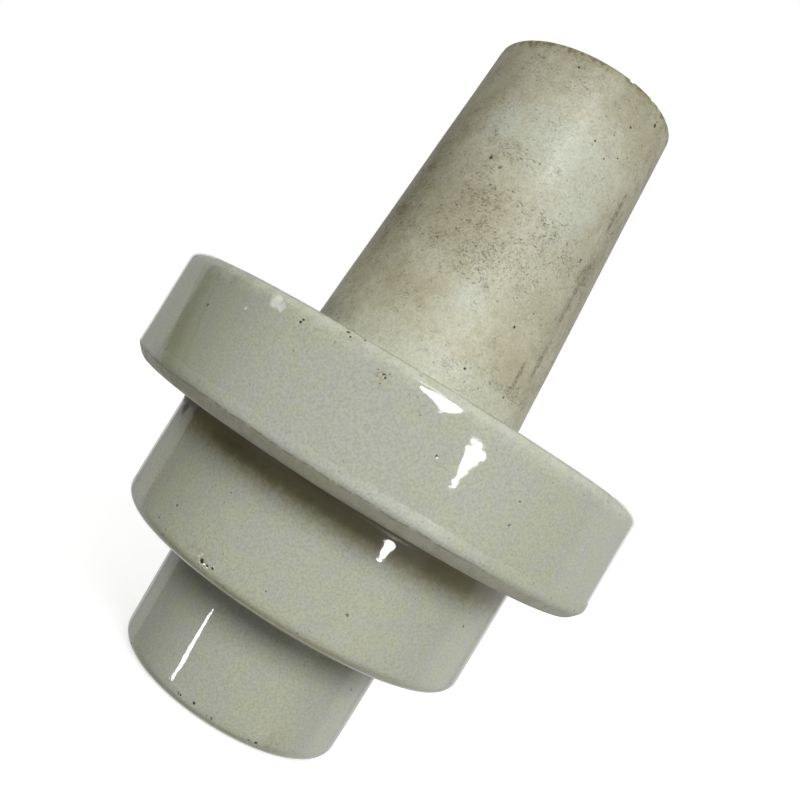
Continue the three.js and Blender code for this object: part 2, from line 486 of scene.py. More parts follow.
def seal(name, end, replaced, material, placed):
    """Poured sealing compound: it creeps up the bush and the socket's wall and dips between."""
    sides = SEAL_SIDES
    inner = np.minimum(
        hexagon_radius(end["flats"], sides),
        end["flats"] / 2 / math.cos(math.pi / 6) - CORNER_TURNING,
    )
    angles = np.arange(sides) * 2 * math.pi / sides
    bottom = SEAL_INSET + SEAL_THICKNESS
    rings = [ring(inner, bottom, sides)]
    for t in np.linspace(0, 1, SEAL_ROWS):
        radius = inner * (1 - t) + (SOCKET_RADIUS + SEAL_OVERLAP * t) * t
        lumps = np.array([
            noise.noise(Vector((r * math.sin(a), r * math.cos(a), end["socket"])) / SEAL_LUMP_SIZE)
            for r, a in zip(radius, angles)
        ])
        from_middle = abs(2 * t - 1)
        creep = SEAL_CREEP * from_middle**SEAL_CREEP_POWER
        height = SEAL_INSET - creep + SEAL_LUMP_HEIGHT * lumps * (1 - from_middle)
        rings.append(ring(radius, height, sides))
    rings.append(ring(SOCKET_RADIUS, bottom, sides))
    shape = to_bmesh(np.vstack(rings), ring_faces(len(rings), sides, closed=True))
    shape.transform(placed)
    piece(name, shape, material, replaced)


# ---- Materials ----


# The noises share this many offsets, because Cycles has no room for one each.
NOISE_OFFSETS = 12
NOISE_OFFSET = (17.3, -29.1, 11.7)


class Nodes:
    """Builds the nodes of one tree."""

    def __init__(self, tree):
        self.tree = tree

    def node(self, kind, inputs=(), operation=None, **sockets):
        made = self.tree.nodes.new("ShaderNode" + kind)
        if operation:
            made.operation = operation
        for i, value in enumerate(inputs):
            self.put(made.inputs[i], value)
        for name, value in sockets.items():
            self.put(made.inputs[name.replace("_", " ")], value)
        return made

    def put(self, socket, value):
        if isinstance(value, bpy.types.NodeSocket):
            self.tree.links.new(value, socket)
        else:
            socket.default_value = value

    def math(self, operation, *values):
        return self.node("Math", values, operation=operation).outputs[0]

    def ramp(self, value, low, high, start=0.0, end=1.0):
        """A smooth step: start below low, end above high."""
        made = self.tree.nodes.new("ShaderNodeMapRange")
        made.interpolation_type = "SMOOTHSTEP"
        for i, item in enumerate((value, low, high, start, end)):
            self.put(made.inputs[i], item)
        return made.outputs[0]

    def band(self, value, rise, top, fall, end):
        """1 between top and fall, 0 below rise and above end."""
        return self.math("MULTIPLY", self.ramp(value, rise, top), self.ramp(value, fall, end, 1, 0))

    def mix(self, amount, first, second):
        """A colour between two others."""
        made = self.tree.nodes.new("ShaderNodeMix")
        made.data_type = "RGBA"
        sockets = [s for s in made.inputs if s.enabled]
        for socket, value in zip(sockets, (amount, first, second)):
            if isinstance(value, tuple):
                value = (*value, 1)
            self.put(socket, value)
        return next(s for s in made.outputs if s.enabled)

    def blend(self, amount, first, second):
        """A plain number between two others."""
        span = self.math("SUBTRACT", second, first)
        return self.math("MULTIPLY_ADD", span, amount, first)

    def stirred(self, value, amount, by):
        """A value that a noise moves up and down, by half of an amount either way."""
        return self.math("MULTIPLY_ADD", by, amount, self.math("SUBTRACT", value, amount / 2))

    def most(self, *masks):
        result = masks[0]
        for mask in masks[1:]:
            result = self.math("MAXIMUM", result, mask)
        return result

    def times(self, *factors):
        result = factors[0]
        for factor in factors[1:]:
            result = self.math("MULTIPLY", result, factor)
        return result


class Graph(Nodes):
    """One material's nodes, with places in millimetres and angles in degrees."""

    def __init__(self, name):
        self.material = bpy.data.materials.new(name)
        self.material.use_nodes = True
        super().__init__(self.material.node_tree)
        self.shader = self.tree.nodes["Principled BSDF"]
        place = self.node("TexCoord").outputs["Object"]
        self.place = self.node("VectorMath", [place], operation="SCALE", Scale=1 / MM).outputs[0]
        self.x, self.y, self.z = self.node("SeparateXYZ", [self.place]).outputs
        away = self.math("MULTIPLY", self.y, -1.0)
        self.angle = self.math("DEGREES", self.math("ARCTAN2", self.x, away))
        flat = self.node("CombineXYZ", [self.x, self.y]).outputs[0]
        self.radius = self.node("VectorMath", [flat], operation="LENGTH").outputs["Value"]
        self.offsets = {}

    def moved(self, seed):
        """The place, moved by one of the few offsets."""
        number = round(seed) % NOISE_OFFSETS
        if number not in self.offsets:
            offset = tuple(number * step for step in NOISE_OFFSET)
            self.offsets[number] = self.node("VectorMath", [self.place, offset]).outputs[0]
        return self.offsets[number]

    def noise(self, size, detail=3.0, roughness=0.5, place=None, seed=0):
        """Noise from about 0.3 to 0.7 with features of a size in millimetres."""
        place = place or self.moved(seed)
        settings = {"Scale": 1 / size, "Detail": detail, "Roughness": roughness}
        return self.node("TexNoise", Vector=place, **settings).outputs[0]

    def specks(self, spacing, share, radius, seed=0):
        """Ragged dots: one cell in so many holds one, up to a radius in millimetres."""
        cells = self.node("TexVoronoi", Vector=self.moved(seed), Scale=1 / spacing)
        pick = self.node("SeparateColor", [cells.outputs["Color"]]).outputs
        chosen = self.math("LESS_THAN", pick[0], share)
        limit = self.math("MULTIPLY", pick[1], radius / spacing)
        ragged = self.math("MULTIPLY_ADD", self.noise(radius * 1.2, 3, 0.7), 5.0, -1.4)
        edge = self.times(limit, ragged)
        inside = self.math("LESS_THAN", cells.outputs["Distance"], edge)
        return self.math("MULTIPLY", chosen, inside)

    def flecks(self, size, share, place):
        """Ragged flecks where a rough noise is high; the share of the surface may vary, 0 to 1."""
        level = self.math("MULTIPLY_ADD", share, -0.2, 0.7)
        above = self.math("ADD", level, 0.05)
        return self.ramp(self.noise(size, 4, 0.72, place), level, above)

    def patch(self, angle, z, half_angle, half_height, ragged=0.5, seed=0, soft=0.9):
        """An oval on the surface, 1 inside and 0 outside, with an edge that breaks up into grain."""
        across = self.math("DIVIDE", self.math("SUBTRACT", self.angle, angle), half_angle)
        along = self.math("DIVIDE", self.math("SUBTRACT", self.z, z), half_height)
        offset = self.node("CombineXYZ", [across, along]).outputs[0]
        reach = self.node("VectorMath", [offset], operation="LENGTH").outputs["Value"]
        rough = self.noise(min(half_height, 6) * 0.8, 7, 0.78, seed=seed + angle + z)
        return self.ramp(self.stirred(reach, 5 * ragged, rough), 1.25 - soft, 1.25, 1, 0)

    def scratches(self, turn, width, length, share, seed):
        """Short thin lines on the stem, turned away from its axis by an angle."""
        around = self.math("MULTIPLY", self.angle, math.radians(STEM_ROOT_RADIUS))
        flat = self.node("CombineXYZ", [around, self.z, seed]).outputs[0]
        turned_by = self.node("VectorRotate", Vector=flat, Angle=math.radians(turn)).outputs[0]
        scale = (1 / width, 1 / length, 1)
        drawn = self.node("VectorMath", [turned_by, scale], operation="MULTIPLY").outputs[0]
        lines = self.node("TexVoronoi", Vector=drawn)
        pick = self.node("SeparateColor", [lines.outputs["Color"]]).outputs
        chosen = self.math("LESS_THAN", pick[0], share)
        return self.times(chosen, self.ramp(lines.outputs["Distance"], 0.12, 0.34, 1, 0))

    def attribute(self, name):
        made = self.tree.nodes.new("ShaderNodeAttribute")
        made.attribute_name = name
        return made.outputs["Fac"]

    def finish(self, colour, roughness, height, strength, depth):
        """Connects the surface; the bump's depth is in millimetres."""
        self.put(self.shader.inputs["Base Color"], colour)
        self.put(self.shader.inputs["Roughness"], roughness)
        bump = self.node("Bump", Strength=strength, Distance=depth * MM, Height=height)
        self.put(self.shader.inputs["Normal"], bump.outputs[0])
        return self.material


# Glaze and what lies on it, bare stem and what lies on it, and flaws.
GLAZE_GREEN = (0.575, 0.595, 0.445)
GLAZE_GREY = (0.56, 0.575, 0.50)
GLAZE_SHADE = (0.385, 0.395, 0.295)
GLAZE_RIM_REFLECTION = (0.68, 0.69, 0.60)
GLAZE_OLIVE_SHADE = (0.31, 0.325, 0.20)
GLAZE_STAIN_AND_SHADE = (0.30, 0.255, 0.135)
GLAZE_FILM_AND_SHADE = (0.40, 0.36, 0.16)
SPECK = (0.10, 0.09, 0.05)
BARE = (0.575, 0.57, 0.43)
BARE_TAN = (0.50, 0.48, 0.34)
BARE_SHADE = (0.25, 0.235, 0.15)
MILK = (0.60, 0.63, 0.525)
STAIN_AND_SHADE = (0.36, 0.325, 0.205)
DIRT_AND_SHADE = (0.165, 0.152, 0.085)
OLIVE_DIRT = (0.15, 0.145, 0.075)
GRIME_AND_SHADE = (0.13, 0.11, 0.055)
SOOT = (0.075, 0.065, 0.035)
RIM_OCHRE = (0.42, 0.40, 0.22)
CHIP_AND_GLINT_WHITE = (0.86, 0.86, 0.78)
PIT_BLACK = (0.03, 0.026, 0.014)

# Places on the stem: angle, height, half angle and half height.
MILKY_AND_HIGHLIGHT_PATCHES = [
    # The first two patches lie under the stem's highlight and are partly painted highlight.
    (8, 120, 32, 9),
    (24, 112, 18, 9),
    (3, 86, 10, 6),
    (8, 74, 50, 4),
    (-32, 119, 12, 6),
    (150, 84, 40, 9),
    (-130, 118, 30, 10),
]
STAIN_AND_SHADE_PATCHES = [
    (-30, 83, 20, 5),
    (42, 80, 22, 6),
    (-20, 101, 34, 9),
    # This tall patch on the left side is partly a stain and partly painted shade.
    (-58, 104, 14, 26),
    (-48, 129, 22, 8),
    (38, 132, 30, 5),
    (150, 104, 44, 14),
    (-140, 84, 34, 8),
    (100, 126, 30, 9),
]
SOOTY_PATCHES = [
    (-2, 96, 44, 9),
    (18, 102, 34, 9),
    (-24, 93.6, 26, 1.6),
    (-14, 114.5, 16, 2),
    (-20, 104, 22, 8),
    (42, 76.5, 22, 1.8),
    # This tall patch on the left side is partly soot and partly painted shade.
    (-60, 99, 9, 18),
    (-150, 104, 38, 9),
    (95, 82, 30, 5),
    (170, 126, 34, 4),
]
# Painted shade down the stem's left and right sides and at its foot on the left; the last two make the
# stem darker near its top end.
STEM_SHADE_PATCHES = [
    (-74, 104, 48, 36),
    (-66, 73, 24, 5),
    (76, 108, 32, 44),
    (0, 143, 70, 15),
    (180, 140, 90, 13),
]
SMEARS = [
    (54, 117, 2.2, 6),
    (56, 104, 7, 4),
    (54, 96, 2.4, 7),
    (55, 85, 2, 5),
    (45, 80, 1.6, 4),
    (-62, 97, 8, 1.6),
    (-60, 107, 6, 1.2),
    (128, 92, 2.5, 18),
    (-104, 108, 3, 12),
]
# Thin dirt on the glaze, given in the same way.
SMUDGES = [
    (31, 2.6, 6, 2.2),
    (-4.6, 65.6, 1.7, 1.5),
    (-12, 68.4, 3, 0.9),
    (-24, 27, 5, 1.2),
    (-58, 30, 12, 6),
    (75, 64, 14, 4),
    (160, 56, 26, 5),
]


def tier_glaze(g):
    """The glaze's colour and how dull it is, from 0 to 1."""
    # Two tints in soft clouds, with a fine mottle.
    tint = g.ramp(g.noise(3.6, 4, 0.52), 0.40, 0.60)
    broad = g.ramp(g.noise(17, 3, seed=17), 0.4, 0.6, -0.3, 0.3)
    cool = g.times(g.patch(-12, 56, 24, 11, 0.4), 0.35)
    glaze = g.mix(g.math("ADD", g.math("ADD", tint, broad), cool), GLAZE_GREEN, GLAZE_GREY)
    mottle = g.ramp(g.noise(0.4, 3, 0.65, seed=5), 0.32, 0.68, -0.1, 0.55)
    glaze = g.mix(mottle, glaze, GLAZE_SHADE)

    # Painted shade: olive runs that slant down the flange, over an olive strip at its left that is
    # weaker on the shoulder and the nose, darken the left side and draw the dark line beside the pale
    # band reflected at the left edge.
    slant = g.math("MULTIPLY_ADD", g.z, 0.38, g.angle)
    slant = g.math("MULTIPLY_ADD", g.noise(3, 4, 0.6, seed=33), 3.0, slant)
    wide_shade_streak = g.band(slant, -28.4, -27.2, -25.6, -19)
    thin_shade_streak = g.times(g.band(slant, -20.6, -20, -19.6, -18.6), 0.4)
    shade_streaks = g.most(wide_shade_streak, thin_shade_streak)
    on_face = g.band(g.z, 47, 50, 66, 69)
    broken = g.ramp(g.noise(1.8, 5, 0.7, seed=35), 0.3, 0.55, 0.55, 1)
    shade_streaks = g.times(shade_streaks, on_face, broken)
    olive = g.math("MULTIPLY_ADD", g.band(g.angle, -53, -48, -44, -22), 0.36, g.times(shade_streaks, 0.4))
    tier = g.ramp(g.z, FLANGE_Z - 1, FLANGE_Z, 0.45, 1)
    glaze = g.mix(g.times(olive, tier), glaze, GLAZE_OLIVE_SHADE)

    # A pale band on the flange's upper rim and another on its lower rim, broken up by noise: painted
    # reflection.
    rim_reflection = g.most(g.band(g.z, 66.2, 67.6, 69, 70), g.band(g.z, 44, 48.2, 48.6, 50))
    patchy = g.ramp(g.noise(2.2, 5, 0.7, seed=29), 0.4, 0.6)
    glaze = g.mix(g.times(rim_reflection, patchy, 0.35), glaze, GLAZE_RIM_REFLECTION)

    # A brown film on the rims that face down. In the inner corners under the shoulder and under the
    # flange the brown film is dirt and painted shade together, ragged at its edge and stronger at the
    # left under the flange.
    ragged = g.stirred(g.z, 8.0, g.noise(1.6, 6, 0.78, seed=19))
    # Painted shade on the top of the nose, under the shoulder.
    under_shoulder_shade = g.ramp(ragged, 18.5, 24.5)
    under_shoulder_shade = g.times(under_shoulder_shade, g.ramp(g.z, NOSE_HEIGHT, NOSE_HEIGHT + 0.2, 1, 0))
    under_shoulder_shade = g.times(under_shoulder_shade, g.ramp(g.radius, 24.4, 26, 1, 0))
    on_shoulder = g.ramp(g.radius, 37.8, 40, 1, 0)
    shoulder_top = g.times(g.ramp(g.z, FLANGE_Z, FLANGE_Z + 0.2, 1, 0), on_shoulder)
    by_angle = g.ramp(g.angle, -45, 50, 1, 0.75)
    # Painted shade under the flange, strongest at the left.
    under_flange_shade = g.times(g.ramp(ragged, 40.0, 44.0), shoulder_top, by_angle)
    stem_corner = g.times(g.band(g.z, 69.3, 69.6, 69.9, 70.8), g.ramp(g.radius, 24, 26, 1, 0))
    brown = g.ramp(g.noise(2.4, 6, 0.75, seed=23), 0.36, 0.62)
    lower_rims = g.most(
        g.band(g.z, 46.9, 47.4, 49.0, 49.5),
        g.band(g.z, 23.4, 23.7, 24.5, 25.6),
        g.band(g.z, -0.5, 0, 0.6, 1.6),
    )
    film_and_shade = g.most(
        g.times(under_shoulder_shade, 0.6),
        g.times(under_flange_shade, 0.9),
        g.times(lower_rims, g.math("MULTIPLY_ADD", brown, 0.2, 0.25)),
    )
    glaze = g.mix(film_and_shade, glaze, GLAZE_FILM_AND_SHADE)
    # Painted shade: the deepest part of the corner under the flange is darker still and browner.
    deepest = g.times(g.ramp(g.z, 43.6, 46), on_shoulder)
    darker = g.blend(deepest, g.times(brown, 0.3), 0.75)
    glaze = g.mix(g.times(under_flange_shade, darker), glaze, GLAZE_STAIN_AND_SHADE)

    # Painted shade: a thin dark line at the bevel's upper edge across the front, and another along the
    # flange's crest where its rounding turns away. Then crusts of dirt.
    wander = g.stirred(g.z, 1.2, g.noise(7, 2, seed=37))
    bevel_shade_line = g.times(
        g.band(wander, 49.1, 49.3, 49.36, 49.6),
        g.ramp(g.noise(1.3, 4, 0.7, seed=39), 0.38, 0.54),
        g.band(g.angle, -75, -50, 15, 45),
    )
    crest = g.times(
        g.band(g.z, 69.0, 69.2, 69.8, 70),
        g.band(g.radius, 47.9, 48.2, 48.7, 49.2),
        g.ramp(g.noise(1.4, 5, 0.75, seed=57), 0.42, 0.58),
    )
    crusts_and_shade_lines = g.most(
        g.patch(-66, 46, 17, 2.4, 0.35),
        g.patch(-62.3, 44, 3.4, 2.2, 0.3),
        g.patch(-53, 45.0, 3, 1.7, 0.3),
        g.times(g.patch(-30, 43.6, 12, 1.5, 0.6), 0.45),
        g.times(g.patch(100, 45.4, 12, 1.4, 0.4), 0.8),
        g.times(g.patch(-160, 22.6, 20, 1.2, 0.4), 0.7),
        stem_corner,
        g.times(bevel_shade_line, 0.6),
        g.times(crest, 0.6),
    )
    # Crusts of dirt and the two lines of painted shade, in dark brown.
    glaze = g.mix(g.times(crusts_and_shade_lines, 0.85), glaze, GRIME_AND_SHADE)
    smudge = g.most(*(g.patch(*p, 0.7) for p in SMUDGES))
    smudge = g.times(smudge, g.ramp(g.noise(0.6, 4, 0.7, seed=53), 0.4, 0.6), 0.45)
    glaze = g.mix(smudge, glaze, STAIN_AND_SHADE)

    # Dark dots, most of them near the rims, and fewer in front than at the sides.
    rims = g.most(
        g.band(g.z, -1, 0, 1.5, 5),
        g.band(g.z, 23, 24, 26, 29),
        g.band(g.z, 46, 48, 50, 54),
        g.times(g.band(g.z, 62, 67, 69, 72), g.ramp(g.radius, 43, 47)),
    )
    aside = g.ramp(g.math("ABSOLUTE", g.math("SUBTRACT", g.angle, -5)), 45, 70)
    fewer = g.math("MULTIPLY_ADD", aside, 0.55, 0.45)
    dots = g.most(
        g.specks(3.2, 0.25, 0.28),
        g.times(g.specks(1.5, 0.3, 0.16, seed=31), 0.6),
        g.times(g.specks(1.2, 0.35, 0.24, seed=47), rims, fewer),
        g.times(g.specks(1.6, 0.4, 0.3, seed=59), rims, aside),
    )
    glaze = g.mix(g.times(dots, 0.75), glaze, SPECK)

    # Where the glaze is dull: the crusts, the corner under the flange and the worn bevel.
    worn_rims = g.most(
        g.band(g.z, 46.9, 47.3, 49.4, 50.6),
        g.times(g.band(g.z, 46.9, 47.3, 51.2, 52.4), g.ramp(g.angle, -62, -48)),
    )
    worn_rims = g.times(worn_rims, g.ramp(g.radius, 40, 44))
    corner = g.times(g.ramp(g.z, 45, 46.2), shoulder_top)
    return glaze, g.most(crusts_and_shade_lines, corner, g.times(worn_rims, g.ramp(brown, 0, 1, 0.6, 1)))


def bare_stem(g):
    """The colour of the unglazed body."""
    # Stains; a milky film, which at the top in front is also a painted highlight; painted shade down
    # the sides and at the foot on the left, and the stem darker near its top end.
    bare = g.mix(g.ramp(g.noise(4.5, 7, 0.8, seed=11), 0.38, 0.62), BARE, BARE_TAN)
    stains_and_shade = g.most(*(g.patch(*p, 0.5, 5) for p in STAIN_AND_SHADE_PATCHES))
    bare = g.mix(g.times(stains_and_shade, 0.36), bare, STAIN_AND_SHADE)
    milky_and_highlight = g.most(*(g.patch(*p) for p in MILKY_AND_HIGHLIGHT_PATCHES), g.ramp(g.z, 71, 76, 1, 0))
    bare = g.mix(g.times(milky_and_highlight, 0.7), bare, MILK)
    stem_shade = g.most(*(g.patch(*p, 0.4, 13, 1.1) for p in STEM_SHADE_PATCHES))
    bare = g.mix(g.times(stem_shade, 0.42), bare, DIRT_AND_SHADE)

    # Dirt in the grain, in flecks that are flat because they follow the turning marks.
    sooty = g.most(*(g.patch(*p, 0.3, 9, 1.7) for p in SOOTY_PATCHES))
    cloud = g.ramp(g.noise(6, 5, 0.75, seed=21), 0.42, 0.62)
    cloudy = g.times(cloud, 0.35)
    # The painted side shade also adds dirt to the grain.
    marked = g.math("MULTIPLY_ADD", stem_shade, 0.3, g.times(sooty, 0.9))
    dirty = g.math("ADD", cloudy, marked)
    grain = g.ramp(g.noise(0.42, 5, 0.8, seed=41), 0.38, 0.66, -0.2, 1)
    bare = g.mix(g.times(grain, g.math("MULTIPLY_ADD", dirty, 0.16, 0.34)), bare, BARE_SHADE)
    soft = g.ramp(g.noise(1.3, 6, 0.82, seed=45), 0.45, 0.66)
    bare = g.mix(g.times(soft, g.math("MULTIPLY_ADD", dirty, 0.3, 0.12)), bare, DIRT_AND_SHADE)
    flat = g.node("VectorMath", [g.place, (1, 1, 2.4)], operation="MULTIPLY").outputs[0]
    lumps = g.ramp(g.noise(1.6, 5, 0.75, seed=75), 0.38, 0.62, -0.35, 0.35)
    share = g.math("MULTIPLY_ADD", dirty, 0.8, g.math("ADD", lumps, 0.22))
    share = g.math("MINIMUM", share, 0.88)
    flecks = g.flecks(0.52, share, flat)
    bare = g.mix(g.times(flecks, g.math("MULTIPLY_ADD", sooty, 0.15, 0.6)), bare, OLIVE_DIRT)
    ticks = g.flecks(0.8, g.math("MULTIPLY", share, 0.8), flat)
    bare = g.mix(g.times(ticks, 0.7), bare, SOOT)

    # Smears, scratches and dots.
    smears = g.most(*(g.patch(*p, 0.45, 3) for p in SMEARS))
    clumps = g.ramp(g.noise(0.9, 5, 0.8, seed=49), 0.42, 0.58, 0.25, 1)
    bare = g.mix(g.times(smears, clumps, 0.75), bare, GRIME_AND_SHADE)
    lines = g.most(g.scratches(70, 0.28, 3.2, 0.05, 1.5), g.scratches(-52, 0.25, 2.6, 0.04, 7.5))
    bare = g.mix(g.times(lines, 0.55), bare, SOOT)
    dots = g.most(
        g.times(g.specks(3.4, 0.4, 0.42, seed=71), 0.85),
        g.times(g.specks(1.2, 0.3, 0.2, seed=73), g.math("ADD", sooty, 0.3)),
    )
    bare = g.mix(g.times(dots, 0.8), bare, SOOT)

    # The worn and dirty rim of the stem's end.
    wander = g.stirred(g.z, 7.0, g.noise(3.5, 6, 0.75, seed=8))
    rim = g.ramp(wander, BODY_HEIGHT - 3, BODY_HEIGHT)
    outer = g.ramp(g.radius, 15, 18)
    bare = g.mix(g.times(rim, outer, 0.5), bare, RIM_OCHRE)
    edge = g.times(g.ramp(wander, BODY_HEIGHT - 2, BODY_HEIGHT - 0.4), clumps, outer)
    return g.mix(g.times(edge, 0.85), bare, GRIME_AND_SHADE)


def glazed_porcelain():
    """Glaze up to the stem's foot, bare body above it, and flaws, some of them painted white as
    glints, where the mesh has them.
    """
    g = Graph("glazed_porcelain")
    glaze, dull = tier_glaze(g)
    stem = g.ramp(g.z, STEM_Z + 0.5, STEM_Z + 1.3)
    colour = g.mix(stem, glaze, bare_stem(g))
    # Chips are painted pale, and the glint dents near white as painted glints.
    pale = g.times(g.attribute("chip_and_glint"), g.ramp(stem, 0, 1, 0.85, 0.12))
    colour = g.mix(pale, colour, CHIP_AND_GLINT_WHITE)
    pitted = g.ramp(g.attribute("pit"), 0.05, 0.6)
    dark = g.times(pitted, g.ramp(g.noise(0.3, 3, seed=3), 0.3, 0.5))
    colour = g.mix(dark, colour, PIT_BLACK)

    glossy = g.math("MAXIMUM", g.ramp(dull, 0, 1, 0.035, 0.5), g.times(dark, 0.7))
    polished = g.patch(2, 121, 14, 10, 0.8)
    matt = g.ramp(g.noise(0.8, 4, 0.7, seed=61), 0.35, 0.65, 0.42, 0.66)
    sparkle = g.ramp(g.noise(0.9, 3, 0.7, seed=67), 0.42, 0.52, 0.05, 0.5)
    matt = g.math("SUBTRACT", matt, g.times(polished, sparkle))
    waves = g.times(g.noise(5.5, 2, seed=81), 0.55)
    peel = g.times(g.noise(0.6, 1.5, seed=83), 0.05)
    grain = g.times(g.noise(0.55, 4, 0.65, seed=91), 1.3)
    height = g.blend(stem, g.math("ADD", waves, peel), grain)
    return g.finish(colour, g.blend(stem, glossy, matt), height, 1.0, 0.06)


def plated_steel():
    g = Graph("plated_steel")
    g.shader.inputs["Metallic"].default_value = 1
    cloud = g.ramp(g.noise(1.8, 4, 0.6), 0.35, 0.65)
    colour = g.mix(cloud, (0.40, 0.40, 0.37), (0.52, 0.52, 0.50))
    rust = g.math("MULTIPLY", g.ramp(g.noise(2.6, 5, 0.7, seed=13), 0.58, 0.68), 0.8)
    colour = g.mix(rust, colour, (0.20, 0.10, 0.05))
    cuts = g.math("SINE", g.times(g.radius, 2 * math.pi / 0.22))
    height = g.math("MULTIPLY_ADD", g.noise(0.3, 3), 0.6, g.math("MULTIPLY", cuts, 0.2))
    rough = g.math("MULTIPLY_ADD", rust, 0.35, g.ramp(cloud, 0, 1, 0.34, 0.46))
    return g.finish(colour, rough, height, 0.6, 0.02)


def grouting_cement():
    g = Graph("grouting_cement")
    sand = g.ramp(g.noise(0.6, 5, 0.7), 0.35, 0.65)
    colour = g.mix(sand, (0.27, 0.255, 0.22), (0.45, 0.43, 0.37))
    colour = g.mix(g.specks(0.9, 0.35, 0.25), colour, (0.12, 0.11, 0.10))
    return g.finish(colour, g.ramp(sand, 0, 1, 0.85, 0.98), sand, 0.8, 0.15)


def pressed_cork():
    g = Graph("pressed_cork")
    cells = g.node("TexVoronoi", Scale=1 / 1.6, Vector=g.place)
    shade = g.node("SeparateColor", [cells.outputs["Color"]]).outputs[0]
    colour = g.mix(shade, (0.30, 0.17, 0.075), (0.52, 0.33, 0.17))
    bevel_shade_line = g.ramp(cells.outputs["Distance"], 0.35, 0.6)
    colour = g.mix(g.math("MULTIPLY", bevel_shade_line, 0.5), colour, (0.14, 0.075, 0.035))
    rough = g.ramp(g.noise(0.7, 3), 0.3, 0.7, 0.8, 0.95)
    return g.finish(colour, rough, g.math("SUBTRACT", shade, bevel_shade_line), 0.7, 0.12)


def sealing_compound():
    g = Graph("sealing_compound")
    dust = g.ramp(g.noise(1.4, 5, 0.7), 0.45, 0.7)
    colour = g.mix(g.math("MULTIPLY", dust, 0.6), (0.022, 0.02, 0.018), (0.16, 0.145, 0.11))
    rough = g.ramp(dust, 0, 1, 0.42, 0.75)
    return g.finish(colour, rough, g.noise(0.8, 4, 0.6), 0.5, 0.08)


# ---- Making the pieces ----

porcelain(glazed_porcelain())
steel, compound = plated_steel(), sealing_compound()
cement, cork = grouting_cement(), pressed_cork()
turned_over = Matrix.Translation((0, 0, BODY_HEIGHT)) @ Matrix.Rotation(math.pi, 4, "X")
FITTED_ENDS = (("wire", WIRE_END, Matrix.Identity(4)), ("post", POST_END, turned_over))
for prefix, end, placed in FITTED_ENDS:
    bush(f"{prefix}_threaded_bush", end, f"{prefix}_bush", steel, placed)
    seal(f"{prefix}_seal_ring", end, f"{prefix}_seal", compound, placed)
    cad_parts[f"{prefix}_cement"].material_slots[0].material = cement
    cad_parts[f"{prefix}_cushion"].material_slots[0].material = cork

# ---- Camera: it stands near the shoulder and looks slightly up, rolled so that the stem leans ----

LENS = 38.95
SENSOR = 36
CAMERA_PLACE = (0, -174.66, 61.05)
CAMERA_HEADING = 4.03
CAMERA_PITCH = 2.91
CAMERA_ROLL = 31.45
CAMERA_SHIFT = (0.0504, -0.062)


def add_camera():
    data = bpy.data.cameras.new("camera")
    data.sensor_width = SENSOR
    data.lens = LENS
    data.shift_x, data.shift_y = CAMERA_SHIFT
    data.clip_start = 0.005
    camera = bpy.data.objects.new("camera", data)
    bpy.context.scene.collection.objects.link(camera)
    camera.matrix_world = (
        Matrix.Translation(Vector(CAMERA_PLACE) * MM)
        @ Matrix.Rotation(math.radians(CAMERA_HEADING), 4, "Z")
        @ Matrix.Rotation(math.radians(90 + CAMERA_PITCH), 4, "X")
        @ Matrix.Rotation(math.radians(CAMERA_ROLL), 4, "Z")
    )
    bpy.context.scene.camera = camera


add_camera()

# ---- Lights ----


def toward(azimuth, elevation):
    a, e = math.radians(azimuth), math.radians(elevation)
    return Vector((math.sin(a) * math.cos(e), -math.cos(a) * math.cos(e), math.sin(e)))


def softbox(
    name, target, azimuth, elevation, distance, size, radiance,
    shape="RECTANGLE", glossy=True, diffuse=True,
):
    """A flat light that faces a target, with its radiance rather than its power."""
    data = bpy.data.lights.new(name, "AREA")
    data.shape = shape
    data.size, data.size_y = (s * MM for s in size)
    area = data.size * data.size_y * (math.pi / 4 if shape == "ELLIPSE" else 1)
    data.energy = radiance * area * math.pi
    light = bpy.data.objects.new(name, data)
    bpy.context.scene.collection.objects.link(light)
    back = toward(azimuth, elevation)
    place = (Vector(target) + back * distance) * MM
    turn = back.to_track_quat("Z", "Y").to_matrix().to_4x4()
    light.matrix_world = Matrix.Translation(place) @ turn
    light.visible_camera = False
    light.visible_glossy = glossy
    light.visible_diffuse = diffuse


MIDDLE = (0, 0, 70)
KEY_DISTANCE = 600
# The softboxes that stand round the object: azimuth, elevation, width, height and radiance.
KEYS = [
    (35, 24, 240, 200, 6.2),
    (12, 26, 240, 200, 5.9),
    (-10, 26, 220, 200, 3.8),
    (-33, 24, 240, 200, 2.5),
    (-60, 24, 260, 200, 1.0),
    (92, 22, 300, 200, 1.1),
    (125, 22, 300, 200, 2.6),
    (-150, 28, 420, 300, 0.9),
]
for number, (azimuth, elevation, width, height, radiance) in enumerate(KEYS):
    softbox(
        f"key_{number}", MIDDLE, azimuth, elevation, KEY_DISTANCE, (width, height), radiance,
        glossy=False,
    )

